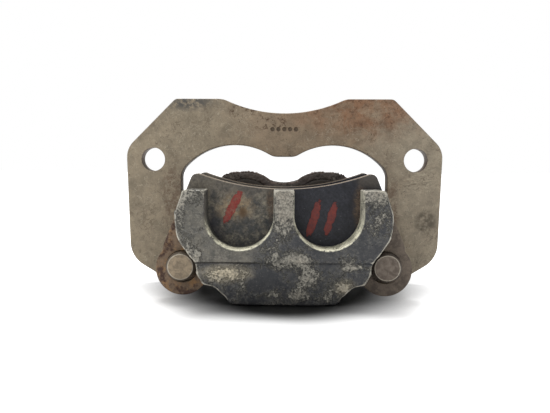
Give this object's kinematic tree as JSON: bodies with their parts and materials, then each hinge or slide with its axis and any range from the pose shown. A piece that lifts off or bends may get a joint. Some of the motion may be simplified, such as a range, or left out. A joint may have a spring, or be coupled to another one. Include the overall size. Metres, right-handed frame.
{
  "type": "brake caliper",
  "caption": "Floating disc-brake caliper with side-by-side pistons, hanging pads and guide pins on a steel carrier plate.",
  "frame": {"origin": "midway between the two mounting holes, on the carrier plate's inboard face", "axes": "+X along the line of the mounting holes, +Y inboard along the guide pins and pistons, +Z towards the wheel hub"},
  "size_m": [0.1408, 0.084, 0.0834],
  "materials": {
    "carrier_steel": "worn plated steel with rust stains",
    "pin_steel": "tarnished steel",
    "body_casting": "black paint, chipped to pale corrosion",
    "plug_steel": "tarnished steel",
    "guide_bush": "greased bearing plastic",
    "seal_rubber": "black rubber",
    "boot_rubber": "dusty black rubber",
    "piston": "plated steel",
    "bleed_screw": "yellowed zinc plate",
    "cap_rubber": "black rubber",
    "pad_backing": "worn dark paint with rust at the edges",
    "pad_friction": "coarse sintered lining"
  },
  "bodies": {
    "carrier": {"bracket_plate": "carrier_steel", "guide_pin_left": "pin_steel", "guide_pin_right": "pin_steel"},
    "caliper": {"caliper_body": "body_casting", "passage_plug": "plug_steel", "guide_bush_left": "guide_bush", "guide_bush_right": "guide_bush", "pressure_seal_left": "seal_rubber", "pressure_seal_right": "seal_rubber", "dust_seal_left": "seal_rubber", "dust_seal_right": "seal_rubber", "pin_boot_left": "boot_rubber", "pin_boot_right": "boot_rubber"},
    "outer_pad": {"outer_pad_backing": "pad_backing", "outer_pad_friction": "pad_friction"},
    "inner_pad": {"inner_pad_backing": "pad_backing", "inner_pad_friction": "pad_friction"},
    "left_piston": {"piston_left": "piston"},
    "right_piston": {"piston_right": "piston"},
    "bleeder": {"bleed_screw": "bleed_screw"},
    "bleeder_cap": {"bleed_cap": "cap_rubber"}
  },
  "joints": [
    {"name": "caliper_slide", "type": "slide", "parent": "carrier", "child": "caliper", "axis": [0, 1, 0], "range_m": [-0.001, 0.0029], "deforming": ["pin_boot_left", "pin_boot_right"]},
    {"name": "outer_pad_slide", "type": "slide", "parent": "carrier", "child": "outer_pad", "axis": [0, 1, 0], "range_m": [-0.001, 0.0029]},
    {"name": "inner_pad_slide", "type": "slide", "parent": "carrier", "child": "inner_pad", "axis": [0, -1, 0], "range_m": [-0.001, 0.0029]},
    {"name": "left_piston_slide", "type": "slide", "parent": "caliper", "child": "left_piston", "axis": [0, -1, 0], "range_m": [-0.002, 0.0058]},
    {"name": "right_piston_slide", "type": "slide", "parent": "caliper", "child": "right_piston", "axis": [0, -1, 0], "range_m": [-0.002, 0.0058]},
    {"name": "bleed_screw_turn", "type": "hinge", "parent": "caliper", "child": "bleeder", "pos_m": [0.041, 0.022, -0.0213], "axis": [1, 0, 0], "range_deg": [0, 360]},
    {"name": "bleed_cap_pull", "type": "slide", "parent": "bleeder", "child": "bleeder_cap", "axis": [1, 0, 0], "range_m": [0, 0.012]}
  ],
  "couplings": [
    {"joint": "outer_pad_slide", "follows": "caliper_slide", "ratio": 1},
    {"joint": "inner_pad_slide", "follows": "caliper_slide", "ratio": 1},
    {"joint": "left_piston_slide", "follows": "caliper_slide", "ratio": 2},
    {"joint": "right_piston_slide", "follows": "caliper_slide", "ratio": 2}
  ]
}
